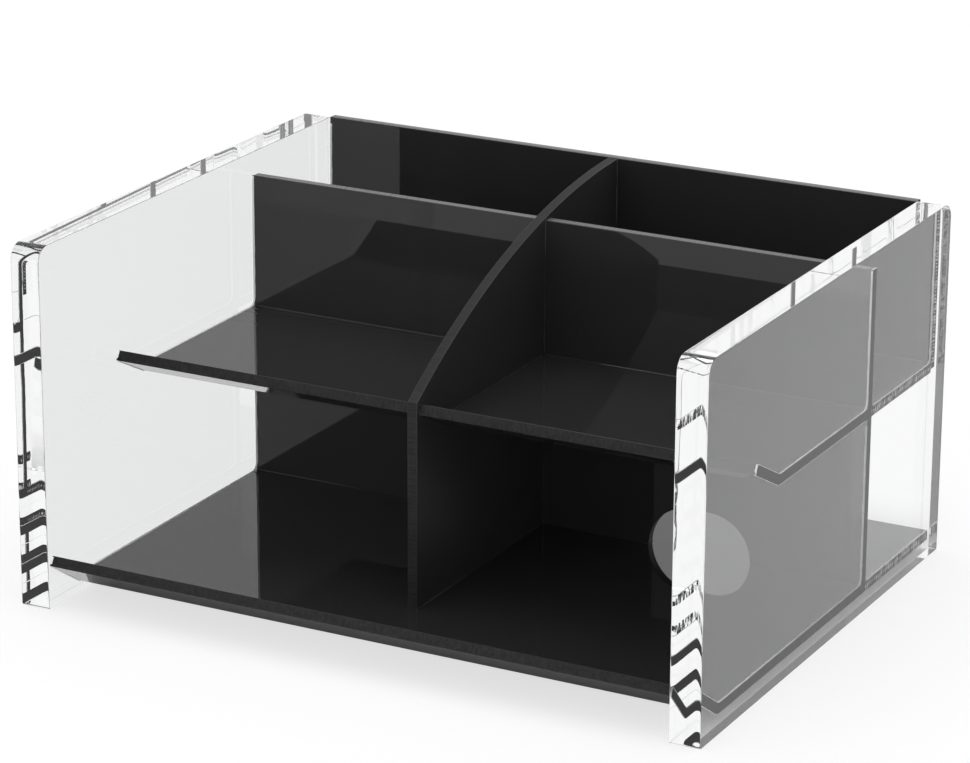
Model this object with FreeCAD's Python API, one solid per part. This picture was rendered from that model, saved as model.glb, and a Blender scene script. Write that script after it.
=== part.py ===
import FreeCAD, Part
import math
import os

# Desk holder of bonded acrylic sheet: two thick clear side panels carry black sheets between them.
# A tray and a split shelf make open bays for note pads and small things, a middle wall closes them
# at the back, and a shallow pen tray with its own back panel hangs behind the wall.
# The holder faces -Y, and its origin lies under its middle, on the surface that it stands on.

# Side panels
side_thickness = 9.0
side_depth = 164.5
side_height = 106.0
side_corner_radius = 4.5

# Black sheets: their stock, and the clear width of each of the two bays beside the divider
sheet = 3.0
bay_width = 95.0
rear_inset = 1.5

# Base tray: its underside clears the table, and its front edge is bent up into a lip
tray_lift = 3.0
tray_bend_setback = 17.4
tray_lip_length = 17.4
tray_lip_angle = 33.0

# Shelves: the level of their top face, and their bent lip
shelf_level = 58.5
shelf_bend_setback = 53.4
shelf_lip_length = 16.2
shelf_lip_angle = 27.0

# Inner radius of a bend in the black sheet
bend_radius = 3.0

# Middle wall: its front face, how far its top stays under the side panels, and its cable outlet
wall_setback = 113.5
wall_top_drop = 7.0
outlet_radius = 13.0
slot_clearance = 0.1

# Divider: its front edge, the height where its curved top starts, and the radius of that curve
divider_setback = 37.0
divider_front_height = 66.5
divider_crown_radius = 236.0

# Pen tray behind the wall: the level of its floor, and how far the back panel covers the floor's edge
pen_floor_level = 58.5
back_overlap = 2.0

# Places that follow from the sizes above
front = -side_depth / 2
inner_half_width = bay_width + sheet / 2
tray_level = tray_lift + sheet
wall_front = front + wall_setback
wall_rear = wall_front + sheet
wall_top = side_height - wall_top_drop
back_rear = side_depth / 2 - rear_inset
back_front = back_rear - sheet

sides = {"left": -1, "right": 1}


def side_view(y, z):
    """A point of a side-view outline, in the plane between the two bays."""
    return FreeCAD.Vector(0, y, z)


def extrude_across(edges, x_start, x_end):
    """A solid whose side-view outline runs from one X to another."""
    face = Part.Face(Part.Wire(edges))
    face.translate(FreeCAD.Vector(x_start, 0, 0))
    return face.extrude(FreeCAD.Vector(x_end - x_start, 0, 0))


def box_between(low, high):
    """A box between its lowest and its highest corner."""
    size = [b - a for a, b in zip(low, high)]
    return Part.makeBox(*size, FreeCAD.Vector(*low))


def bay_span(side):
    """The lowest and highest X of one bay, from the divider's face to the side panel's."""
    ends = sorted((side * sheet / 2, side * inner_half_width))
    return ends[0], ends[1]


def side_panel(side):
    """A thick clear upright with both top corners rounded."""
    inner, outer = side * inner_half_width, side * (inner_half_width + side_thickness)
    low = (min(inner, outer), front, 0)
    high = (max(inner, outer), front + side_depth, side_height)
    panel = box_between(low, high)
    corners = [
        edge for edge in panel.Edges
        if edge.BoundBox.ZMin > side_height / 2 and edge.BoundBox.XLength > side_thickness / 2
    ]
    return panel.makeFillet(side_corner_radius, corners)


def bent_sheet(x_start, x_end, bend_y, rear_y, top_z, lip_length, lip_angle):
    """A flat sheet whose front is bent up into a sloping lip, as one even thickness round the bend."""
    lean = math.radians(lip_angle)
    tangent = bend_radius * math.tan(lean / 2)
    hub_y, hub_z = bend_y + tangent, top_z + bend_radius
    straight = lip_length - tangent

    def on_bend(radius, turn):
        return side_view(hub_y - radius * math.sin(turn), hub_z - radius * math.cos(turn))

    along_lip = side_view(-math.cos(lean), math.sin(lean)) * straight
    outer_radius = bend_radius + sheet
    top_tip = on_bend(bend_radius, lean) + along_lip
    under_tip = on_bend(outer_radius, lean) + along_lip
    rear_top, rear_under = side_view(rear_y, top_z), side_view(rear_y, top_z - sheet)
    edges = [
        Part.LineSegment(rear_top, on_bend(bend_radius, 0)).toShape(),
        Part.Arc(on_bend(bend_radius, 0), on_bend(bend_radius, lean / 2), on_bend(bend_radius, lean)).toShape(),
        Part.LineSegment(on_bend(bend_radius, lean), top_tip).toShape(),
        Part.LineSegment(top_tip, under_tip).toShape(),
        Part.LineSegment(under_tip, on_bend(outer_radius, lean)).toShape(),
        Part.Arc(on_bend(outer_radius, lean), on_bend(outer_radius, lean / 2), on_bend(outer_radius, 0)).toShape(),
        Part.LineSegment(on_bend(outer_radius, 0), rear_under).toShape(),
        Part.LineSegment(rear_under, rear_top).toShape(),
    ]
    return extrude_across(edges, x_start, x_end)


def base_tray():
    """The bottom sheet, from one side panel to the other, with its lip at the front."""
    return bent_sheet(
        -inner_half_width, inner_half_width, front + tray_bend_setback, back_rear,
        tray_level, tray_lip_length, tray_lip_angle,
    )


def shelf(side):
    """One half of the shelf, from the divider to a side panel, with its lip at the front."""
    x_start, x_end = bay_span(side)
    return bent_sheet(
        x_start, x_end, front + shelf_bend_setback, wall_front,
        shelf_level, shelf_lip_length, shelf_lip_angle,
    )


def middle_wall():
    """The upright behind the bays, slotted from above for the divider, with a half-round cable outlet."""
    wall = box_between(
        (-inner_half_width, wall_front, tray_level),
        (inner_half_width, wall_rear, wall_top),
    )
    half_slot = sheet / 2 + slot_clearance
    slot = box_between(
        (-half_slot, wall_front, pen_floor_level),
        (half_slot, wall_rear, wall_top),
    )
    outlet_x = (sheet + bay_width) / 2
    outlet = Part.makeCylinder(
        outlet_radius, sheet, FreeCAD.Vector(outlet_x, wall_front, tray_level), FreeCAD.Vector(0, 1, 0)
    )
    return wall.cut(slot).cut(outlet)


def divider():
    """The upright between the bays: it stands on the tray, and runs on above the pen tray's floor."""
    rise = side_height - divider_front_height
    front_y = front + divider_setback
    crest_y = front_y + math.sqrt(2 * divider_crown_radius * rise - rise ** 2)
    crown_z = side_height - divider_crown_radius

    def on_crown(y):
        return side_view(y, crown_z + math.sqrt(divider_crown_radius ** 2 - (y - crest_y) ** 2))

    front_foot = side_view(front_y, tray_level)
    wall_foot = side_view(wall_front, tray_level)
    wall_step = side_view(wall_front, pen_floor_level)
    back_foot = side_view(back_front, pen_floor_level)
    start, middle, end = on_crown(front_y), on_crown((front_y + back_front) / 2), on_crown(back_front)
    edges = [
        Part.LineSegment(front_foot, start).toShape(),
        Part.Arc(start, middle, end).toShape(),
        Part.LineSegment(end, back_foot).toShape(),
        Part.LineSegment(back_foot, wall_step).toShape(),
        Part.LineSegment(wall_step, wall_foot).toShape(),
        Part.LineSegment(wall_foot, front_foot).toShape(),
    ]
    return extrude_across(edges, -sheet / 2, sheet / 2)


def pen_tray_floor():
    """The floor of the pen tray, from the middle wall to the back panel."""
    return box_between(
        (-inner_half_width, wall_rear, pen_floor_level - sheet),
        (inner_half_width, back_front, pen_floor_level),
    )


def back_panel():
    """The upright behind the pens, level with the top of the side panels."""
    return box_between(
        (-inner_half_width, back_front, pen_floor_level - back_overlap),
        (inner_half_width, back_rear, side_height),
    )


pieces = {
    "base_tray": base_tray(),
    "middle_wall": middle_wall(),
    "divider": divider(),
    "pen_tray_floor": pen_tray_floor(),
    "back_panel": back_panel(),
}
for name, side in sides.items():
    pieces[name + "_side_panel"] = side_panel(side)
    pieces[name + "_shelf"] = shelf(side)

os.makedirs("parts", exist_ok=True)
for name, solid in pieces.items():
    solid.exportStep(os.path.join("parts", name + ".step"))
    box = solid.BoundBox
    print(f"{name}: {box.XLength:.2f} x {box.YLength:.2f} x {box.ZLength:.2f} mm, {solid.Volume / 1000:.1f} cm3")
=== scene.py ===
import math

import bmesh
import bpy
from mathutils import Matrix, Vector


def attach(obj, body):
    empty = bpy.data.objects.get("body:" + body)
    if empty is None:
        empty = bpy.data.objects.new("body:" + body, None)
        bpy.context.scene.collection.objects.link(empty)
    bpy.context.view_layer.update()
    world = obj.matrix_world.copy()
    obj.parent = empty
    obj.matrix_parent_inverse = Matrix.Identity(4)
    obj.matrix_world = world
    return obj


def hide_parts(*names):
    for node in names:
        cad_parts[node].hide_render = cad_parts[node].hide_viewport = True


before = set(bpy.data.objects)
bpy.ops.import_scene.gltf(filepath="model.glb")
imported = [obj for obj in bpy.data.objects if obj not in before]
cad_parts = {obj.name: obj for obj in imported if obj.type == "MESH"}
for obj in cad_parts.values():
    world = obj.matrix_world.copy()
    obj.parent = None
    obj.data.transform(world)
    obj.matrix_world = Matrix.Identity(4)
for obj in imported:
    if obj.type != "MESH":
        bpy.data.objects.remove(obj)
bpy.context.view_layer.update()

# Room: a white sweep that the holder stands on, lit evenly from all round, with one wide soft lamp overhead.
# What the camera, the gloss and the clear sheets see of it is plain white, and the floor keeps a soft shadow.
mm = 0.001
floor_reach = 6.0
floor_gap = 0.05 * mm
floor_white = 0.97
shadow_share = 0.3
shaded_half_width = 96.5 * mm
shaded_half_depth = 76.0 * mm
shade_fade = 46.0 * mm
shade_rim = 1.0 * mm
room_light = 0.86
lamp_size = 1.6
lamp_height = 1.7
lamp_watts = 9.0


def add(tree, kind, sockets=None, **settings):
    """One node of a tree, with its settings, and its inputs as plain values or as other nodes' outputs."""
    made = tree.nodes.new(kind)
    for key, value in settings.items():
        setattr(made, key, value)
    for key, value in (sockets or {}).items():
        if isinstance(value, bpy.types.NodeSocket):
            tree.links.new(value, made.inputs[key])
        else:
            made.inputs[key].default_value = value
    return made


def sum_of(tree, operation, *values):
    """The result of one sum, product, comparison or sine."""
    return add(tree, "ShaderNodeMath", dict(enumerate(values)), operation=operation).outputs[0]


def seen_straight(tree, direct=1.0, mirrored=1.0):
    """How far the camera, a reflection or a clear sheet sees plain white: 0 for what only lights things."""
    path = add(tree, "ShaderNodeLightPath").outputs
    looked = sum_of(tree, "MULTIPLY", path["Is Camera Ray"], direct)
    glossy = sum_of(tree, "MULTIPLY", sum_of(tree, "MULTIPLY", path["Is Glossy Ray"], direct), mirrored)
    clear = sum_of(tree, "MULTIPLY", path["Is Transmission Ray"], mirrored)
    return sum_of(tree, "MAXIMUM", looked, sum_of(tree, "MAXIMUM", glossy, clear))


def ranged(tree, value, low, high, start=0.0, end=1.0, **settings):
    """A value carried from one range to another."""
    carried = add(tree, "ShaderNodeMapRange", {
        "Value": value, "From Min": start, "From Max": end, "To Min": low, "To Max": high}, **settings)
    return carried.outputs[0]


def open_floor(tree):
    """0 on the floor in the tray's own shade, 1 in the open and under the clear side panels."""
    place = add(tree, "ShaderNodeTexCoord").outputs["Object"]
    off = add(tree, "ShaderNodeSeparateXYZ", {0: place}).outputs
    across, along = (sum_of(tree, "ABSOLUTE", off[axis]) for axis in ("X", "Y"))
    beside = ranged(tree, across, 0.0, 1.0, shaded_half_width, shaded_half_width + shade_rim)
    before = ranged(
        tree, along, 0.0, 1.0, shaded_half_depth, shaded_half_depth + shade_fade,
        interpolation_type="SMOOTHSTEP")
    return sum_of(tree, "MAXIMUM", beside, before)


room = bpy.data.worlds.new("white_room")
room.use_nodes = True
room.node_tree.nodes.clear()
level = ranged(room.node_tree, seen_straight(room.node_tree), room_light, 1.0)
sky = add(room.node_tree, "ShaderNodeBackground", {"Color": (1, 1, 1, 1), "Strength": level})
add(room.node_tree, "ShaderNodeOutputWorld", {"Surface": sky.outputs[0]})
bpy.context.scene.world = room

sweep = bpy.data.materials.new("white_sweep")
sweep.use_nodes = True
sweep.node_tree.nodes.clear()
card = add(sweep.node_tree, "ShaderNodeBsdfDiffuse", {"Color": (floor_white, floor_white, floor_white, 1)})
glow = add(sweep.node_tree, "ShaderNodeEmission", {"Color": (1, 1, 1, 1), "Strength": 1.0})
share = seen_straight(sweep.node_tree, 1 - shadow_share, open_floor(sweep.node_tree))
both = add(sweep.node_tree, "ShaderNodeMixShader", {0: share, 1: card.outputs[0], 2: glow.outputs[0]})
add(sweep.node_tree, "ShaderNodeOutputMaterial", {"Surface": both.outputs[0]})

floor_mesh = bpy.data.meshes.new("floor")
floor_corners = [(-1, -1), (1, -1), (1, 1), (-1, 1)]
floor_mesh.from_pydata(
    [(x * floor_reach, y * floor_reach, -floor_gap) for x, y in floor_corners], [], [(0, 1, 2, 3)])
floor_mesh.materials.append(sweep)
floor = bpy.data.objects.new("floor", floor_mesh)
bpy.context.collection.objects.link(floor)

lamp = bpy.data.objects.new("overhead_lamp", bpy.data.lights.new("overhead_lamp", "AREA"))
lamp.data.size = lamp_size
lamp.data.energy = lamp_watts
lamp.location = (0, 0, lamp_height)
bpy.context.collection.objects.link(lamp)

# View: the photograph's own, from the front right and a little above, through a long lens. Light goes
# through many clear faces on its way, so it may bounce often.
view_azimuth = math.radians(27.80)
view_elevation = math.radians(18.75)
view_roll = math.radians(0.29)
view_place = Vector((497.69, -946.60, 422.25)) * mm
view_lens = 147.90
sensor_width = 36.0
near_clip = 0.01
clear_bounces = 32
gloss_bounces = 16

back = Vector((
    math.sin(view_azimuth) * math.cos(view_elevation),
    -math.cos(view_azimuth) * math.cos(view_elevation),
    math.sin(view_elevation),
))
level_right = (-back).cross(Vector((0, 0, 1))).normalized()
level_up = level_right.cross(-back)
right = level_right * math.cos(view_roll) + level_up * math.sin(view_roll)
up = level_up * math.cos(view_roll) - level_right * math.sin(view_roll)
camera = bpy.data.objects.new("camera", bpy.data.cameras.new("camera"))
camera.data.lens = view_lens
camera.data.sensor_width = sensor_width
camera.data.clip_start = near_clip
camera.matrix_world = Matrix.Translation(view_place) @ Matrix((right, up, back)).transposed().to_4x4()
bpy.context.collection.objects.link(camera)
scene = bpy.context.scene
scene.camera = camera
scene.view_settings.view_transform = "Standard"
scene.cycles.max_bounces = clear_bounces
scene.cycles.glossy_bounces = gloss_bounces
scene.cycles.transmission_bounces = clear_bounces

# Base tray: one 3 mm sheet of black acrylic, heated along a line near its front edge and bent up into
# a sloping lip. It is bonded by its two ends between the side panels, clear of the table.
panel_front = -82.25 * mm
panel_inner = 96.5 * mm
sheet = 3.0 * mm
bend_radius = 3.0 * mm
sheet_rear = 80.75 * mm
tray_level = 6.0 * mm
tray_bend = panel_front + 17.4 * mm
tray_lip = 17.4 * mm
tray_lip_angle = math.radians(33.0)
bonded_depth = 0.12 * mm
let_in = 0.3 * mm
fine_arris = 0.12 * mm
arris_steps = 3
sharp_edge = math.radians(40)
rim_step = 0.4 * mm
rim_pitch = 1.8 * mm
clean_rim = 0.5 * mm
end_lift = 0.25 * mm
end_zone = 0.4 * mm
end_facing = 0.9
bonded_share = 0.2
bend_steps = 14
saw_range, patch_range = (0.38, 0.62), (0.48, 0.56)
patch_seed = 30.0
wall_rear = panel_front + 116.5 * mm
deep_black, bonded_shades, lying_shades = (0.021, 0.025), (0.004, 0.02), (0.002, 0.022)
polished, satin = (0.012, 0.03), (0.6, 0.85)
gloss_index, satin_index = 1.42, 1.36
dust_radii, dust_rarity, dust_pale, dust_rough = (0.03, 0.09), 0.95, 0.02, 0.2
mark_range = (0.35, 0.65)
mark_fine, mark_long = 1500.0, 120.0


def finish_of(name):
    """A new material with its shader, and the place on the object that its patterns read."""
    made = bpy.data.materials.new(name)
    made.use_nodes = True
    tree = made.node_tree
    return made, tree, tree.nodes["Principled BSDF"], add(tree, "ShaderNodeTexCoord").outputs["Object"]


def black_gloss(name, roughness, index):
    """The face of cast black sheet: a clear gloss over a deep black, faintly rippled, with a little dust."""
    made, tree, shader, place = finish_of(name)
    dust = add(tree, "ShaderNodeTexVoronoi", {"Vector": place, "Scale": 420.0}).outputs
    speck = ranged(tree, dust["Distance"], 1.0, 0.0, *dust_radii)
    chance = add(tree, "ShaderNodeSeparateColor", {0: dust["Color"]}).outputs[0]
    specks = sum_of(tree, "MULTIPLY", speck, sum_of(tree, "GREATER_THAN", chance, dust_rarity))
    cloud = add(tree, "ShaderNodeTexNoise", {"Vector": place, "Scale": 26.0, "Detail": 3.0}).outputs[0]
    colour = sum_of(
        tree, "ADD", ranged(tree, cloud, *deep_black), sum_of(tree, "MULTIPLY", specks, dust_pale))
    tree.links.new(colour, shader.inputs["Base Color"])
    rough = sum_of(
        tree, "ADD", ranged(tree, cloud, *roughness), sum_of(tree, "MULTIPLY", specks, dust_rough))
    tree.links.new(rough, shader.inputs["Roughness"])
    ripple = add(tree, "ShaderNodeTexNoise", {"Vector": place, "Scale": 9.0, "Detail": 1.0}).outputs[0]
    bump = add(tree, "ShaderNodeBump", {"Height": ripple, "Strength": 0.3, "Distance": 0.5 * mm})
    tree.links.new(bump.outputs[0], shader.inputs["Normal"])
    shader.inputs["IOR"].default_value = index
    return made


def black_cut(name, marks, shades, roughness, index):
    """A sawn and scraped edge of the black sheet: satin, with fine marks that run across its thickness."""
    made, tree, shader, place = finish_of(name)
    drawn = add(tree, "ShaderNodeMapping", {"Vector": place, "Scale": marks}, vector_type="POINT").outputs[0]
    scored = add(tree, "ShaderNodeTexNoise", {"Vector": drawn, "Scale": 1.0, "Detail": 3.0}).outputs[0]
    tree.links.new(ranged(tree, scored, *shades, *mark_range), shader.inputs["Base Color"])
    tree.links.new(ranged(tree, scored, *roughness, *mark_range), shader.inputs["Roughness"])
    bump = add(tree, "ShaderNodeBump", {"Height": scored, "Strength": 0.6, "Distance": 0.1 * mm})
    tree.links.new(bump.outputs[0], shader.inputs["Normal"])
    shader.inputs["IOR"].default_value = index
    return made


def black_bonded():
    """An end of the black sheet, seen through the clear sheet that it is bonded to: black, with no gloss."""
    made, tree, shader, place = finish_of("black_bonded_end")
    marks = add(tree, "ShaderNodeTexNoise", {"Vector": place, "Scale": 700.0, "Detail": 3.0}).outputs[0]
    tree.links.new(ranged(tree, marks, *bonded_shades), shader.inputs["Base Color"])
    shader.inputs["Roughness"].default_value = 0.6
    shader.inputs["Specular IOR Level"].default_value = 0.0
    return made


black = black_gloss("black_gloss_face", polished, gloss_index)
bonded = black_bonded()
lying_cut = black_cut(
    "black_cut_edge_lying", (mark_fine, mark_fine, mark_long), lying_shades, satin, satin_index)
gloss_face, cut_face, bonded_face = range(3)


def new_tree(name, **inputs):
    """A geometry tree with its named inputs, given as their kinds, and the outputs of its input node."""
    tree = bpy.data.node_groups.new(name, "GeometryNodeTree")
    tree.interface.new_socket(name="Geometry", in_out="INPUT", socket_type="NodeSocketGeometry")
    for label, kind in inputs.items():
        tree.interface.new_socket(name=label, in_out="INPUT", socket_type="NodeSocket" + kind)
    tree.interface.new_socket(name="Geometry", in_out="OUTPUT", socket_type="NodeSocketGeometry")
    return tree, add(tree, "NodeGroupInput").outputs


def close_tree(tree, shape, material):
    """The end of a geometry tree: a real mesh in its material."""
    real = add(tree, "GeometryNodeRealizeInstances", {0: shape})
    dressed = add(tree, "GeometryNodeSetMaterial", {"Geometry": real.outputs[0], "Material": material})
    add(tree, "NodeGroupOutput", {0: dressed.outputs[0]})


def vector(tree, x, y, z):
    """A vector of three values."""
    return add(tree, "ShaderNodeCombineXYZ", {0: x, 1: y, 2: z}).outputs[0]


def polyline(tree, count, position):
    """A curve through a number of points, whose places follow from their index."""
    line = add(tree, "GeometryNodeMeshLine", {"Count": count})
    placed = add(tree, "GeometryNodeSetPosition", {"Geometry": line.outputs[0], "Position": position})
    return add(tree, "GeometryNodeMeshToCurve", {"Mesh": placed.outputs[0]}).outputs[0]


def bent_sheet_tree():
    """A sheet with its front turned up: its middle line from the rear edge round the bend to the lip."""
    tree, given = new_tree("bent_sheet", **{
        "Left end": "Float", "Right end": "Float", "Rear": "Float", "Bend": "Float", "Level": "Float",
        "Lip": "Float", "Lip angle": "Float", "Bend radius": "Float", "Thickness": "Float", "Step": "Float",
        "Material": "Material",
    })
    half = sum_of(tree, "DIVIDE", given["Thickness"], 2.0)
    middle = sum_of(tree, "DIVIDE", sum_of(tree, "ADD", given["Left end"], given["Right end"]), 2.0)
    width = sum_of(tree, "SUBTRACT", given["Right end"], given["Left end"])
    sine, cosine = (sum_of(tree, kind, given["Lip angle"]) for kind in ("SINE", "COSINE"))
    lean = sum_of(tree, "TANGENT", sum_of(tree, "DIVIDE", given["Lip angle"], 2.0))
    core = sum_of(tree, "SUBTRACT", given["Level"], half)
    corner = sum_of(tree, "SUBTRACT", given["Bend"], sum_of(tree, "MULTIPLY", half, lean))
    reach = sum_of(tree, "MULTIPLY_ADD", given["Lip"], cosine, sum_of(tree, "MULTIPLY", half, sine))
    climb = sum_of(tree, "MULTIPLY", given["Lip"], sine)
    rise = sum_of(tree, "SUBTRACT", climb, sum_of(tree, "MULTIPLY", half, cosine))
    tip_y = sum_of(tree, "SUBTRACT", given["Bend"], reach)
    tip = vector(tree, middle, tip_y, sum_of(tree, "ADD", given["Level"], rise))
    stops = add(tree, "GeometryNodeIndexSwitch", data_type="VECTOR")
    stops.index_switch_items.new()
    ends = [vector(tree, middle, given["Rear"], core), vector(tree, middle, corner, core), tip]
    for place, value in enumerate([add(tree, "GeometryNodeInputIndex").outputs[0], *ends]):
        tree.links.new(value, stops.inputs[place])
    hub = sum_of(tree, "ADD", given["Bend radius"], half)
    rounded = add(tree, "GeometryNodeFilletCurve", {
        "Curve": polyline(tree, len(ends), stops.outputs[0]), "Radius": hub, "Count": bend_steps,
    }, mode="POLY")
    section = add(tree, "GeometryNodeCurvePrimitiveQuadrilateral", {
        "Width": width, "Height": given["Thickness"]})
    stepped = add(tree, "GeometryNodeResampleCurve", {
        "Curve": rounded.outputs[0], "Length": given["Step"]}, mode="LENGTH")
    swept = add(tree, "GeometryNodeCurveToMesh", {
        "Curve": stepped.outputs[0], "Profile Curve": section.outputs[0], "Fill Caps": True})
    close_tree(tree, swept.outputs[0], given["Material"])
    return tree


def sawn_rim_tree():
    """A bonded end: its rim wanders with the saw marks, and at the rear right patches miss the panel."""
    tree, given = new_tree("sawn_rim", **{
        "Bonded from": "Float", "Depth": "Float", "Lift": "Float", "Lift from": "Float", "Pitch": "Float",
        "Seed": "Float", "Material": "Material"})
    place = add(tree, "GeometryNodeInputPosition").outputs[0]
    across, along = add(tree, "ShaderNodeSeparateXYZ", {0: place}).outputs[:2]
    inside = sum_of(tree, "GREATER_THAN", sum_of(tree, "ABSOLUTE", across), given["Bonded from"])
    noise = add(tree, "ShaderNodeTexNoise", {
        "Vector": place, "W": given["Seed"], "Scale": sum_of(tree, "DIVIDE", 1.0, given["Pitch"]),
        "Detail": 2.0,
    }, noise_dimensions="4D").outputs[0]
    facing = add(tree, "ShaderNodeSeparateXYZ", {0: add(tree, "GeometryNodeInputNormal").outputs[0]}).outputs
    outward = add(tree, "ShaderNodeVectorMath", {
        0: vector(tree, 0.0, facing[1], facing[2])}, operation="NORMALIZE").outputs[0]
    sunk = sum_of(tree, "MULTIPLY", ranged(tree, noise, 0.0, -1.0, *saw_range), given["Depth"])
    missed = add(tree, "ShaderNodeTexNoise", {
        "Vector": place, "W": sum_of(tree, "ADD", given["Seed"], patch_seed),
        "Scale": sum_of(tree, "DIVIDE", 2.0, given["Pitch"]),
    }, noise_dimensions="4D").outputs[0]
    rear = sum_of(tree, "GREATER_THAN", along, given["Lift from"])
    on_right = sum_of(tree, "GREATER_THAN", across, 0.0)
    reach = sum_of(tree, "MULTIPLY", sum_of(tree, "MULTIPLY", rear, on_right), given["Lift"])
    pulled = sum_of(tree, "MULTIPLY", ranged(tree, missed, 0.0, -1.0, *patch_range), reach)
    lifted = vector(tree, pulled, 0.0, 0.0)
    drawn_in = add(tree, "ShaderNodeVectorMath", {0: outward, "Scale": sunk}, operation="SCALE").outputs[0]
    offset = add(tree, "ShaderNodeVectorMath", {0: drawn_in, 1: lifted}, operation="ADD").outputs[0]
    moved = add(tree, "GeometryNodeSetPosition", {
        "Geometry": given["Geometry"], "Selection": inside, "Offset": offset})
    close_tree(tree, moved.outputs[0], given["Material"])
    return tree


def even_shading(piece):
    """Smooth shading that keeps every broad face flat, so that only bends, arrises and beads look round."""
    piece.data.shade_smooth()
    evening = piece.modifiers.new("even_shading", "WEIGHTED_NORMAL")
    evening.weight = 100
    graph = bpy.context.evaluated_depsgraph_get()
    piece.data = bpy.data.meshes.new_from_object(piece.evaluated_get(graph), depsgraph=graph)
    piece.modifiers.clear()


def set_up(piece, name, tree, values):
    """A geometry tree on a piece, with its inputs set before it is first evaluated."""
    making = piece.modifiers.new(name, "NODES")
    making.node_group = tree
    for item in tree.interface.items_tree:
        if item.in_out == "INPUT" and item.name in values:
            making[item.identifier] = values[item.name]


def plain_piece(name, mesh, tree=None, values=None, rounding=None, rim=None):
    """A finished mesh: its tree's shape, an arris on sharp edges, a rim (depth, lift, seed), even shading."""
    piece = bpy.data.objects.new(name, mesh)
    bpy.context.collection.objects.link(piece)
    if tree:
        set_up(piece, "making", tree, values)
    if rounding:
        edge = piece.modifiers.new("arris", "BEVEL")
        edge.width = rounding
        edge.segments = arris_steps
        edge.limit_method = "ANGLE"
        edge.angle_limit = sharp_edge
    if rim:
        depth, lift, seed = rim
        set_up(piece, "rim", sawn_rim, {
            "Bonded from": panel_inner, "Depth": depth, "Lift": lift, "Lift from": wall_rear,
            "Pitch": rim_pitch, "Seed": seed, "Material": black})
    graph = bpy.context.evaluated_depsgraph_get()
    shaped = bpy.data.meshes.new_from_object(piece.evaluated_get(graph), depsgraph=graph)
    piece.modifiers.clear()
    piece.data = shaped
    even_shading(piece)
    return piece


def dress_black(piece, node, cut, is_cut, face=black):
    """Gives a black piece its gloss, cut and bonded surfaces, and its place in the frame."""
    piece.data.materials.clear()
    for material in (face, cut, bonded):
        piece.data.materials.append(material)
    for polygon in piece.data.polygons:
        off_middle = abs(polygon.center.x)
        flat_end = abs(polygon.normal.x) > end_facing and off_middle > panel_inner - end_zone
        if flat_end or off_middle > panel_inner + bonded_share * bonded_depth:
            polygon.material_index = bonded_face
        else:
            polygon.material_index = cut_face if is_cut(polygon.normal) else gloss_face
    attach(piece, "root")
    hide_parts(node)


def is_bent_cut(angle):
    """Tells the sawn edges of a bent sheet, at its lip's tip and at its rear, from its faces and arrises."""
    tip = Vector((0, -math.cos(angle), math.sin(angle)))
    aligned = 0.995
    return lambda normal: normal.dot(tip) > aligned or normal.y > aligned


bent_sheet = bent_sheet_tree()
sawn_rim = sawn_rim_tree()
base_tray = plain_piece("base_tray_sheet", bpy.data.meshes.new("base_tray"), bent_sheet, {
    "Left end": -panel_inner - bonded_depth, "Right end": panel_inner + bonded_depth, "Rear": sheet_rear,
    "Bend": tray_bend, "Level": tray_level, "Lip": tray_lip, "Lip angle": tray_lip_angle,
    "Bend radius": bend_radius, "Thickness": sheet, "Step": rim_step, "Material": black,
}, fine_arris, (clean_rim, end_lift, 1.0))
dress_black(base_tray, "base_tray", lying_cut, is_bent_cut(tray_lip_angle))

# Middle wall: a flat black sheet that stands on the tray and closes the bays at the back. A slot from
# above takes the divider, and a half-round outlet at the foot of the right bay lets a cable through.
wall_front = wall_rear - sheet
wall_top = 99.0 * mm
outlet_radius = 13.0 * mm
outlet_middle = 49.0 * mm
slot_half = 1.6 * mm
pen_floor_level = 58.5 * mm
broad_arris = 0.26 * mm
outlet_steps = 40
square_on = 0.05
upright_shades, scraped = (0.04, 0.1), (0.25, 0.45)
acrylic_index = 1.49


def along_end(x, start, end):
    """Points up or down a bonded end, close enough together for its sawn rim."""
    count = max(1, round(abs(end - start) / rim_step))
    return [(x, start + (end - start) * k / count) for k in range(count + 1)]


def slab(name, outline, place, rounding, rim=None):
    """A flat sheet: its outline, put in place at its near and at its far face, with a strip between them."""
    work = bmesh.new()
    near, far = ([work.verts.new(place(u, v, side)) for u, v in outline] for side in (0, 1))
    work.faces.new(near)
    work.faces.new(far[::-1])
    for k in range(len(outline)):
        after = (k + 1) % len(outline)
        work.faces.new((near[after], near[k], far[k], far[after]))
    bmesh.ops.recalc_face_normals(work, faces=work.faces)
    mesh = bpy.data.meshes.new(name)
    work.to_mesh(mesh)
    work.free()
    return plain_piece(name, mesh, rounding=rounding, rim=rim)


def arc(middle_u, middle_v, radius, start, end, steps):
    """Points along a circle, from one angle in degrees to another."""
    turns = [math.radians(start + (end - start) * k / steps) for k in range(steps + 1)]
    return [(middle_u + radius * math.cos(t), middle_v + radius * math.sin(t)) for t in turns]


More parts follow.
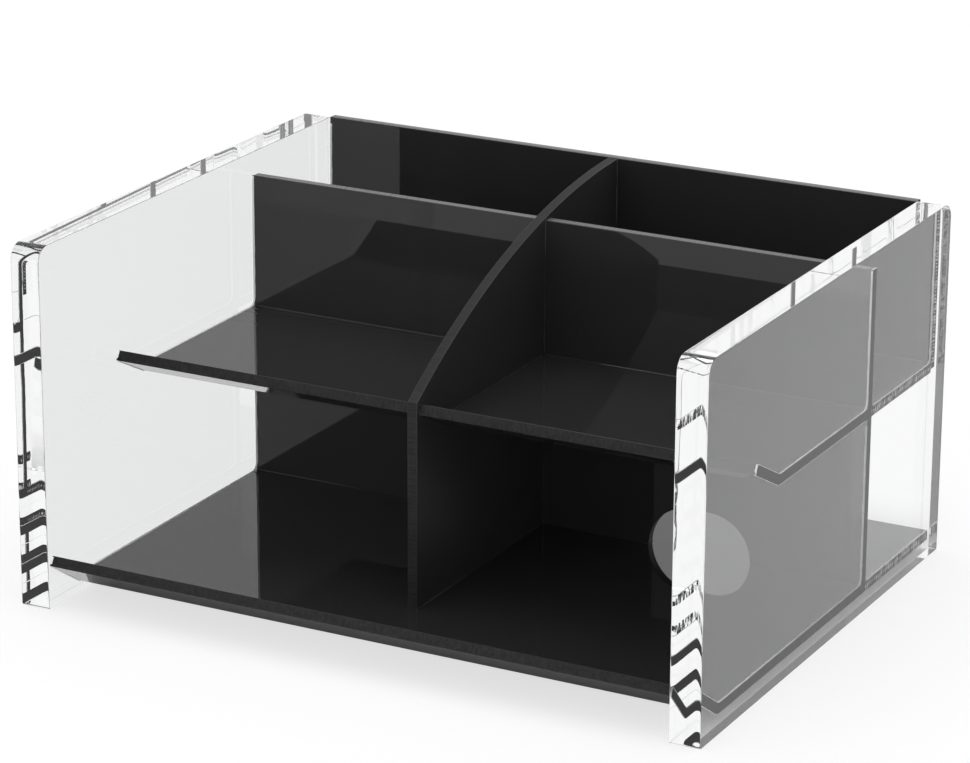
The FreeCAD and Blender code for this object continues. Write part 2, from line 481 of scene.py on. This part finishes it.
wall_end = panel_inner + bonded_depth
wall_foot = tray_level - let_in
wall_outline = [
    (-wall_end, wall_foot), (outlet_middle - outlet_radius, wall_foot),
    *arc(outlet_middle, tray_level, outlet_radius, 180, 0, outlet_steps),
    (outlet_middle + outlet_radius, wall_foot), *along_end(wall_end, wall_foot, wall_top),
    (slot_half, wall_top), (slot_half, pen_floor_level),
    (-slot_half, pen_floor_level), (-slot_half, wall_top),
    *along_end(-wall_end, wall_top, wall_foot)[:-1],
]
upright_cut = black_cut(
    "black_cut_edge_upright", (mark_fine, mark_long, mark_fine), upright_shades, scraped, acrylic_index)
middle_wall = slab(
    "middle_wall_sheet", wall_outline, lambda u, v, side: (u, wall_front + side * sheet, v),
    broad_arris, (clean_rim, 0.0, 2.0))
dress_black(middle_wall, "middle_wall", upright_cut, lambda normal: abs(normal.y) < square_on)

# Shelf: two halves of black sheet, one in each bay, bent like the tray at a gentler slope. Each is bonded
# to a side panel, to the divider and to the middle wall.
shelf_level = 58.5 * mm
shelf_bend = panel_front + 53.4 * mm
shelf_lip = 16.2 * mm
shelf_lip_angle = math.radians(27.0)
divider_face = sheet / 2
sides = {"left": -1, "right": 1}

for label, side in sides.items():
    ends = sorted((side * (divider_face - let_in), side * (panel_inner + bonded_depth)))
    half_shelf = plain_piece(label + "_shelf_sheet", bpy.data.meshes.new(label + "_shelf"), bent_sheet, {
        "Left end": ends[0], "Right end": ends[1], "Rear": wall_front + let_in,
        "Bend": shelf_bend, "Level": shelf_level, "Lip": shelf_lip, "Lip angle": shelf_lip_angle,
        "Bend radius": bend_radius, "Thickness": sheet, "Step": rim_step, "Material": black,
    }, fine_arris, (clean_rim, 0.0, 4.0 + side))
    dress_black(half_shelf, label + "_shelf", lying_cut, is_bent_cut(shelf_lip_angle))

# Divider: a black upright between the bays whose top edge rises in one long arc. It stands on the tray,
# fills the wall's slot, and runs on across the pen tray to the back panel. Its faces have a softer gloss
# than the other sheets.
divider_front = panel_front + 37.0 * mm
divider_front_top = 66.5 * mm
crown_radius = 236.0 * mm
panel_height = 106.0 * mm
crown_steps = 64
divider_arris = 0.18 * mm
crosswise_shades, softer = (0.003, 0.028), (0.26, 0.32)
back_front = sheet_rear - sheet

crown_middle_z = panel_height - crown_radius
crown_middle_y = divider_front + math.sqrt(crown_radius ** 2 - (divider_front_top - crown_middle_z) ** 2)


def crown_angle(y):
    """The angle on the crown's circle, in degrees, of the point above a place on the Y axis."""
    return math.degrees(math.acos((y - crown_middle_y) / crown_radius))


divider_outline = [
    (divider_front, tray_level - let_in),
    *arc(crown_middle_y, crown_middle_z, crown_radius,
         crown_angle(divider_front), crown_angle(back_front + let_in), crown_steps),
    (back_front + let_in, pen_floor_level - let_in), (wall_rear - let_in, pen_floor_level - let_in),
    (wall_front + let_in, pen_floor_level - let_in), (wall_front + let_in, tray_level - let_in),
]
crosswise_cut = black_cut(
    "black_cut_edge_crosswise", (mark_long, mark_fine, mark_fine), crosswise_shades, satin, satin_index)
soft_black = black_gloss("black_soft_gloss_face", softer, satin_index)
divider = slab(
    "divider_sheet", divider_outline, lambda u, v, side: ((side - 0.5) * sheet, u, v), divider_arris)
dress_black(divider, "divider", crosswise_cut, lambda normal: abs(normal.x) < square_on, soft_black)

# Pen tray: a flat floor behind the middle wall, level with the shelf, and a back panel that covers the
# floor's rear edge and stands as high as the side panels. Both are black sheet, bonded where they meet the
# others, but for the floor's left end, which stays a hair clear of the panel.
back_foot = 56.5 * mm
rough_rim = 0.6 * mm
floor_gap_left = 0.04 * mm

floor_front, floor_rear = wall_rear - let_in, back_front + let_in
floor_outline = [
    *along_end(wall_end, floor_front, floor_rear),
    *along_end(floor_gap_left - panel_inner, floor_rear, floor_front),
]
pen_floor = slab(
    "pen_tray_floor_sheet", floor_outline, lambda u, v, side: (u, v, pen_floor_level - side * sheet),
    fine_arris, (rough_rim, end_lift, 7.0))
dress_black(pen_floor, "pen_tray_floor", lying_cut, lambda normal: abs(normal.z) < square_on)

back_outline = [
    *along_end(wall_end, back_foot, panel_height), *along_end(-wall_end, panel_height, back_foot),
]
back_panel = slab(
    "back_panel_sheet", back_outline, lambda u, v, side: (u, back_front + side * sheet, v),
    fine_arris, (rough_rim, end_lift, 8.0))
dress_black(back_panel, "back_panel", upright_cut, lambda normal: abs(normal.y) < square_on)

# Cement between the black sheets: where one sheet meets another, a thin bead has run out of the joint and
# set in the corner, black and glossy and a little uneven. It shows as a fine line along each joint.
bead_leg = 0.2 * mm
bead_step = 1.0 * mm
bead_points = 6
hidden_corner = -0.25
bead_unevenness = 0.7


def bead_tree():
    """A bead of cement along each line: hollow-faced, uneven, turned and sized as its points' vectors say."""
    tree, given = new_tree("cement_bead", **{
        "Leg": "Float", "Second leg": "Float", "Unevenness": "Float", "Step": "Float", "Seed": "Float",
        "Material": "Material"})
    lines = add(tree, "GeometryNodeMeshToCurve", {"Mesh": given["Geometry"]})
    fine = add(tree, "GeometryNodeResampleCurve", {
        "Curve": lines.outputs[0], "Length": given["Step"]}, mode="LENGTH")
    facing = add(tree, "GeometryNodeInputNamedAttribute", {"Name": "facing"}, data_type="FLOAT_VECTOR")
    turned = add(tree, "GeometryNodeSetCurveNormal", {
        "Curve": fine.outputs[0], "Normal": facing.outputs[0]}, mode="FREE")
    index = add(tree, "GeometryNodeInputIndex").outputs[0]
    quarter_step = math.pi / 2 / (bead_points - 2)
    step = sum_of(tree, "MULTIPLY", sum_of(tree, "SUBTRACT", index, 1.0), quarter_step)
    on_arc = [sum_of(tree, "SUBTRACT", 1.0, sum_of(tree, kind, step)) for kind in ("SINE", "COSINE")]
    hidden = sum_of(tree, "LESS_THAN", index, 0.5)
    reaches = [
        add(tree, "ShaderNodeMix", {0: hidden, 2: value, 3: hidden_corner}).outputs[0] for value in on_arc]
    legs = [
        sum_of(tree, "MULTIPLY", given[label], reach) for label, reach in zip(("Leg", "Second leg"), reaches)]
    open_section = polyline(tree, bead_points, vector(tree, legs[0], legs[1], 0.0))
    section = add(tree, "GeometryNodeSetSplineCyclic", {"Geometry": open_section, "Cyclic": True})
    spread = add(tree, "ShaderNodeTexNoise", {
        "Vector": add(tree, "GeometryNodeInputPosition").outputs[0], "W": given["Seed"], "Scale": 300.0,
    }, noise_dimensions="4D").outputs[0]
    uneven = sum_of(tree, "MULTIPLY_ADD", sum_of(tree, "SUBTRACT", spread, 0.5), given["Unevenness"], 1.0)
    length = add(tree, "ShaderNodeVectorMath", {0: facing.outputs[0]}, operation="LENGTH").outputs["Value"]
    size = sum_of(tree, "MULTIPLY", uneven, length)
    swept = add(tree, "GeometryNodeCurveToMesh", {
        "Curve": turned.outputs[0], "Profile Curve": section.outputs[0], "Scale": size, "Fill Caps": True})
    close_tree(tree, swept.outputs[0], given["Material"])
    return tree


def seam_lines(name, seams):
    """Lines in a mesh, with the side that each bead's first leg runs to, as long as the bead is wide."""
    mesh = bpy.data.meshes.new(name)
    points, edges, facings = [], [], []
    for line, facing in seams:
        edges += [(len(points) + k, len(points) + k + 1) for k in range(len(line) - 1)]
        points += line
        facings += facing if isinstance(facing, list) else [facing] * len(line)
    mesh.from_pydata(points, edges, [])
    layer = mesh.attributes.new("facing", "FLOAT_VECTOR", "POINT")
    for k, facing in enumerate(facings):
        layer.data[k].vector = facing
    return mesh


def corner_seam(start, end, first, second):
    """A straight joint between two sheets, run in the direction that turns its bead to both of them."""
    run = Vector(first).cross(Vector(second))
    forward = (Vector(end) - Vector(start)).dot(run) > 0
    return ([start, end] if forward else [end, start], first)


ahead, behind, above, below = (0, -1, 0), (0, 1, 0), (0, 0, 1), (0, 0, -1)
shelf_under = shelf_level - sheet
black_seams = [
    corner_seam(
        (divider_face, wall_front, tray_level), (outlet_middle - outlet_radius, wall_front, tray_level),
        ahead, above),
    corner_seam(
        (outlet_middle + outlet_radius, wall_front, tray_level), (panel_inner, wall_front, tray_level),
        ahead, above),
    corner_seam(
        (-divider_face, wall_front, tray_level), (-panel_inner, wall_front, tray_level), ahead, above),
    corner_seam(
        (-panel_inner, wall_rear, tray_level), (outlet_middle - outlet_radius, wall_rear, tray_level),
        behind, above),
]
back_top = panel_height - fine_arris
for side in sides.values():
    near, far, away = side * divider_face, side * panel_inner, (side, 0, 0)
    black_seams += [
        corner_seam((near, wall_front, shelf_level), (far, wall_front, shelf_level), ahead, above),
        corner_seam((near, wall_front, shelf_under), (far, wall_front, shelf_under), ahead, below),
        corner_seam((near, wall_rear, pen_floor_level), (far, wall_rear, pen_floor_level), behind, above),
        corner_seam((near, back_front, pen_floor_level), (far, back_front, pen_floor_level), ahead, above),
        corner_seam((near, divider_front, tray_level), (near, wall_front, tray_level), away, above),
        corner_seam((near, shelf_bend + sheet, shelf_level), (near, wall_front, shelf_level), away, above),
        corner_seam((near, wall_rear, pen_floor_level), (near, back_front, pen_floor_level), away, above),
        corner_seam((near, wall_front, tray_level), (near, wall_front, shelf_under), away, ahead),
        corner_seam((near, wall_front, shelf_level), (near, wall_front, wall_top), away, ahead),
        corner_seam((near, wall_rear, pen_floor_level), (near, wall_rear, wall_top), away, behind),
        corner_seam((near, back_front, pen_floor_level), (near, back_front, back_top), away, ahead),
    ]
bead = bead_tree()
black_beads = plain_piece("black_cement_beads", seam_lines("black_seams", black_seams), bead, {
    "Leg": bead_leg, "Second leg": bead_leg, "Unevenness": bead_unevenness, "Step": bead_step, "Seed": 5.0,
    "Material": black})
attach(black_beads, "root")

# Side panels: thick clear cast acrylic, with both top corners rounded and every edge polished, so that
# the edges are a little wavy and domed, and the left one is a little out of square. The black sheets are
# bonded to their inner faces.
panel_thickness = 9.0 * mm
panel_rear = 82.25 * mm
corner_radius = 4.5 * mm
foot_radius = 0.6 * mm
edge_radius = 0.1 * mm
dome_reach = 2.0 * mm
domes = {-1: (0.035 * mm, 0.015 * mm), 1: (0.015 * mm, 0.115 * mm)}
out_of_square = {-1: 0.3 * mm, 1: 0.0}
edge_step = 0.7 * mm
foot_steps, corner_steps, arris_rings, dome_steps, middle_steps = 3, 10, 4, 8, 6
dome_falloff = 3
flat_facing = 0.95
wave_height = 0.02 * mm
wave_length = 7.0 * mm
clear_tint = (0.932, 0.936, 0.94, 1)
haze, haze_range = (0.0, 0.003), (0.6, 0.9)


def clear_gloss():
    """Clear cast sheet: water-white, with a trace of haze in patches."""
    made, tree, shader, place = finish_of("clear_polished_sheet")
    shader.inputs["Base Color"].default_value = clear_tint
    shader.inputs["Transmission Weight"].default_value = 1.0
    shader.inputs["IOR"].default_value = acrylic_index
    cloud = add(tree, "ShaderNodeTexNoise", {"Vector": place, "Scale": 40.0, "Detail": 4.0}).outputs[0]
    tree.links.new(ranged(tree, cloud, *haze, *haze_range), shader.inputs["Roughness"])
    return made


def rounded_panel_outline(inset):
    """The panel in side view, drawn in from its edges: its top corners round, its feet nearly square."""
    low, high = panel_front + inset, panel_rear - inset
    top, foot = corner_radius - inset, foot_radius - inset
    shoulder = panel_height - corner_radius
    return [
        *arc(high - foot, inset + foot, foot, -90, 0, foot_steps),
        *arc(high - top, shoulder, top, 0, 90, corner_steps),
        *arc(low + top, shoulder, top, 90, 180, corner_steps),
        *arc(low + foot, inset + foot, foot, 180, 270, foot_steps),
    ]


def spaced(full, inset_outline):
    """Points along an outline at the spacing of the full one, so that the rings of a panel match."""
    made = []
    for k, start in enumerate(inset_outline):
        end = inset_outline[(k + 1) % len(inset_outline)]
        span = math.dist(full[k], full[(k + 1) % len(full)])
        count = max(1, round(span / edge_step))
        for n in range(count):
            made.append(tuple(a + (b - a) * n / count for a, b in zip(start, end)))
    return made


def edge_rings(dome):
    """Depths under a face, each with how far the arris and the dome draw the edges in there."""
    turns = [math.radians(90 * k / arris_rings) for k in range(arris_rings + 1)]
    levels = [(edge_radius * (1 - math.cos(t)), edge_radius * (1 - math.sin(t))) for t in turns]
    levels += [(dome_reach * k / dome_steps, 0.0) for k in range(1, dome_steps + 1)]
    return [(depth, inset, dome * (1 - depth / dome_reach) ** dome_falloff) for depth, inset in levels]


def panel_mesh(name, side):
    """A panel as rings from its inner to its outer face: fine arrises, and upright edges a little domed."""
    full = rounded_panel_outline(0.0)
    inner, outer = domes[side]
    flat = panel_thickness - 2 * dome_reach
    middle = [(dome_reach + flat * k / middle_steps, 0.0, 0.0) for k in range(1, middle_steps)]
    far = [(panel_thickness - depth, inset, drop) for depth, inset, drop in reversed(edge_rings(outer))]
    work = bmesh.new()
    rings = []
    for depth, inset, drop in edge_rings(inner) + middle + far:
        x = side * (panel_inner + depth)
        narrowing = 1 - (drop + out_of_square[side] * (1 - depth / panel_thickness)) / panel_rear
        points = spaced(full, rounded_panel_outline(inset))
        rings.append([work.verts.new((x, y * narrowing, z)) for y, z in points])
    work.faces.new(rings[0])
    work.faces.new(rings[-1])
    for near, after in zip(rings, rings[1:]):
        for k in range(len(near)):
            n = (k + 1) % len(near)
            work.faces.new((near[k], near[n], after[n], after[k]))
    bmesh.ops.recalc_face_normals(work, faces=work.faces)
    mesh = bpy.data.meshes.new(name)
    work.to_mesh(mesh)
    work.free()
    return mesh


def wave_tree():
    """The slight waves that polishing leaves on an edge: points off the flat faces sink in unevenly."""
    tree, given = new_tree("polished_edge", **{
        "Wave height": "Float", "Wave length": "Float", "Seed": "Float", "Material": "Material"})
    normal = add(tree, "GeometryNodeInputNormal").outputs[0]
    place = add(tree, "GeometryNodeInputPosition").outputs[0]
    size = sum_of(tree, "DIVIDE", 1.0, given["Wave length"])
    noise = add(tree, "ShaderNodeTexNoise", {
        "Vector": place, "W": given["Seed"], "Scale": size, "Detail": 1.0}, noise_dimensions="4D").outputs[0]
    facing = add(tree, "ShaderNodeSeparateXYZ", {0: normal}).outputs
    upright = ranged(tree, sum_of(tree, "ABSOLUTE", facing[1]), 0.0, -1.0)
    sunk = sum_of(tree, "MULTIPLY", sum_of(tree, "MULTIPLY", noise, given["Wave height"]), upright)
    offset = add(tree, "ShaderNodeVectorMath", {0: normal, "Scale": sunk}, operation="SCALE").outputs[0]
    off_the_faces = sum_of(tree, "LESS_THAN", sum_of(tree, "ABSOLUTE", facing[0]), flat_facing)
    moved = add(tree, "GeometryNodeSetPosition", {
        "Geometry": given["Geometry"], "Selection": off_the_faces, "Offset": offset})
    close_tree(tree, moved.outputs[0], given["Material"])
    return tree


clear = clear_gloss()
waves = wave_tree()
for label, side in sides.items():
    panel = plain_piece(label + "_panel_sheet", panel_mesh(label + "_panel", side), waves, {
        "Wave height": wave_height, "Wave length": wave_length, "Seed": 11.0 + side, "Material": clear})
    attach(panel, "root")
    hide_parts(label + "_side_panel")

# Cement along the side panels: on the bays' side of each joint it has run out in a thin line, rounded
# where two joints meet, and on the roughly sawn rear ends it has also dried in the marks. Its whitish colour
# is partly the dried cement's own and partly a painted highlight for the light that the joint lines catch.
dried_leg = 0.42 * mm
dried_rise = 0.14 * mm
upright_width, lip_width, rear_width, level_width, under_width = 1.5, 1.25, 1.2, 1.0, 0.9
corner_ease = 2.5 * mm
line_end = 1.0 * mm
line_start = 2.0 * mm
line_top = 104.0 * mm
wrap_corner = 0.5 * mm
marks_top = 105.0 * mm
tick_pitch = 1.05 * mm
tick_length = 1.1 * mm
speck_pitch = 1.3 * mm
speck_length = 0.95 * mm
speck_width = 0.24 * mm
speck_thickness = 0.03 * mm
across_chance, along_chance, aside_chance = (0.35, 1.0), (0.3, 1.0), (-0.45, 0.45)
floor_marks_size, tray_marks_size, back_marks_size = 1.0, 0.9, 0.85
dried_unevenness = 0.9
lip_turn_steps, ease_steps = 8, 6
top_line_from, under_line_to = 6, 4
cement_and_highlight_shades, milk_roughness, milk_range = (0.9, 1.0), (0.2, 0.45), (0.3, 0.7)


def cement_with_painted_highlight():
    """Dried cement in a thin line, uneven, soft gloss; white partly its own, partly painted highlight."""
    made, tree, shader, place = finish_of("cement_with_painted_highlight")
    milk = add(tree, "ShaderNodeTexNoise", {"Vector": place, "Scale": 800.0, "Detail": 3.0}).outputs[0]
    # painted highlight: this near-white base colour is partly the cement's own and partly stands in for light
    # caught along the joints
    tree.links.new(ranged(tree, milk, *cement_and_highlight_shades, *milk_range), shader.inputs["Base Color"])
    tree.links.new(ranged(tree, milk, *milk_roughness), shader.inputs["Roughness"])
    shader.inputs["IOR"].default_value = acrylic_index
    return made


def bend_outline(bend, level, lip, angle):
    """The underside of a lip, its tip and its top in side view, from the bend and back to it."""
    tangent = bend_radius * math.tan(angle / 2)
    hub = (bend + tangent, level + bend_radius)
    turn = math.degrees(angle)
    under = arc(*hub, bend_radius + sheet, -90, -90 - turn, lip_turn_steps)
    over = arc(*hub, bend_radius, -90 - turn, -90, lip_turn_steps)
    along = Vector((-math.cos(angle), math.sin(angle))) * (lip - tangent)
    tips = [tuple(Vector(point) + along) for point in (under[-1], over[0])]
    return [*under, *tips, *over]


def eased(y, z):
    """The rounded turn of a line of cement, from a level joint up to an upright one."""
    return arc(y - corner_ease, z + corner_ease, corner_ease, -90, 0, ease_steps)


def speck_tree():
    """Cement dried in the saw marks of a rough end: flat specks across a line, sized as its vectors say."""
    tree, given = new_tree("cement_specks", **{
        "Pitch": "Float", "Across": "Float", "Along": "Float", "Thickness": "Float", "Seed": "Int",
        "Material": "Material"})
    lines = add(tree, "GeometryNodeMeshToCurve", {"Mesh": given["Geometry"]})
    facing = add(tree, "GeometryNodeInputNamedAttribute", {"Name": "facing"}, data_type="FLOAT_VECTOR")
    turned = add(tree, "GeometryNodeSetCurveNormal", {
        "Curve": lines.outputs[0], "Normal": facing.outputs[0]}, mode="FREE")
    spots = add(tree, "GeometryNodeCurveToPoints", {
        "Curve": turned.outputs[0], "Length": given["Pitch"]}, mode="LENGTH").outputs
    chance = [
        add(tree, "FunctionNodeRandomValue", {
            "Min": low, "Max": high, "Seed": sum_of(tree, "ADD", given["Seed"], k),
        }, data_type="FLOAT").outputs["Value"]
        for k, (low, high) in enumerate((across_chance, along_chance, aside_chance))
    ]
    length = add(tree, "ShaderNodeVectorMath", {0: facing.outputs[0]}, operation="LENGTH").outputs["Value"]
    sizes = [
        sum_of(tree, "MULTIPLY", sum_of(tree, "MULTIPLY", given[label], length), luck)
        for label, luck in (("Across", chance[0]), ("Along", chance[1]))
    ]
    grain = add(tree, "GeometryNodeMeshIcoSphere", {"Radius": 1.0, "Subdivisions": 2})
    set_specks = add(tree, "GeometryNodeInstanceOnPoints", {
        "Points": spots["Points"], "Instance": grain.outputs[0], "Rotation": spots["Rotation"],
        "Scale": vector(tree, given["Thickness"], sizes[0], sizes[1])})
    aside = vector(tree, 0.0, sum_of(tree, "MULTIPLY", given["Across"], chance[2]), 0.0)
    scattered = add(tree, "GeometryNodeTranslateInstances", {
        "Instances": set_specks.outputs[0], "Translation": aside, "Local Space": True})
    close_tree(tree, scattered.outputs[0], given["Material"])
    return tree


# the cement's whitish colour, used for its lines and its specks, is partly its own and partly painted
# highlight
cement = cement_with_painted_highlight()
specks = speck_tree()
shelf_lip_turn = bend_outline(shelf_bend, shelf_level, shelf_lip, shelf_lip_angle)
tray_lip_turn = bend_outline(tray_bend, tray_level, tray_lip, tray_lip_angle)
tray_line = [*tray_lip_turn[top_line_from:], *eased(wall_front, tray_level)]
shelf_line = [*shelf_lip_turn[top_line_from:], *eased(wall_front, shelf_level)]
cement_lines = [
    ([*tray_line, (wall_front, shelf_under - line_start)], lip_width),
    ([*shelf_line, (wall_front, wall_top - broad_arris)], lip_width),
    ([(wall_front - line_start, shelf_under), *shelf_lip_turn[:under_line_to]], under_width),
    ([(wall_rear + line_end, pen_floor_level), *eased(back_front, pen_floor_level), (back_front, line_top)],
     level_width),
    ([(wall_front + broad_arris, wall_top), (wall_rear - broad_arris, wall_top)], level_width),
    ([(wall_rear + line_end, tray_level), (sheet_rear - wrap_corner, tray_level),
      (sheet_rear, tray_level - wrap_corner), (sheet_rear, tray_level - sheet + wrap_corner)], rear_width),
]
half = sheet / 2
floor_marks = ([(wall_rear, pen_floor_level - half), (back_front, pen_floor_level - half)], floor_marks_size)
back_marks = ([(back_front + half, pen_floor_level), (back_front + half, marks_top)], back_marks_size)
tray_marks = ([(wall_rear, tray_level - half), (sheet_rear, tray_level - half)], tray_marks_size)
marks = {
    "left": {"ticks": [back_marks], "specks": [tray_marks]},
    "right": {"ticks": [back_marks], "specks": [tray_marks, floor_marks]},
}
mark_sizes = {"ticks": (tick_pitch, tick_length), "specks": (speck_pitch, speck_length)}
for label, side in sides.items():
    seams = []
    for line, width in cement_lines:
        run = [(side * panel_inner, y, z) for y, z in line]
        widths = [upright_width if y in (wall_front, back_front) else width for y, z in line]
        seams.append((run[::side], [(-side * value, 0, 0) for value in widths[::side]]))
    dried = [plain_piece(label + "_cement_line", seam_lines(label + "_cement", seams), bead, {
        "Leg": dried_leg, "Second leg": dried_rise, "Unevenness": dried_unevenness, "Step": bead_step,
        "Seed": 3.0 + side, "Material": cement})]
    for kind, rows in marks[label].items():
        pitch, reach = mark_sizes[kind]
        seams = [
            ([(side * (panel_inner + bonded_depth), y, z) for y, z in line], (-side * size, 0, 0))
            for line, size in rows
        ]
        dried.append(plain_piece(f"{label}_cement_{kind}", seam_lines(f"{label}_{kind}", seams), specks, {
            "Pitch": pitch, "Across": reach, "Along": speck_width, "Thickness": speck_thickness,
            "Seed": 20 + side, "Material": cement}))
    for piece in dried:
        piece.data.materials.clear()
        piece.data.materials.append(cement)
        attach(piece, "root")
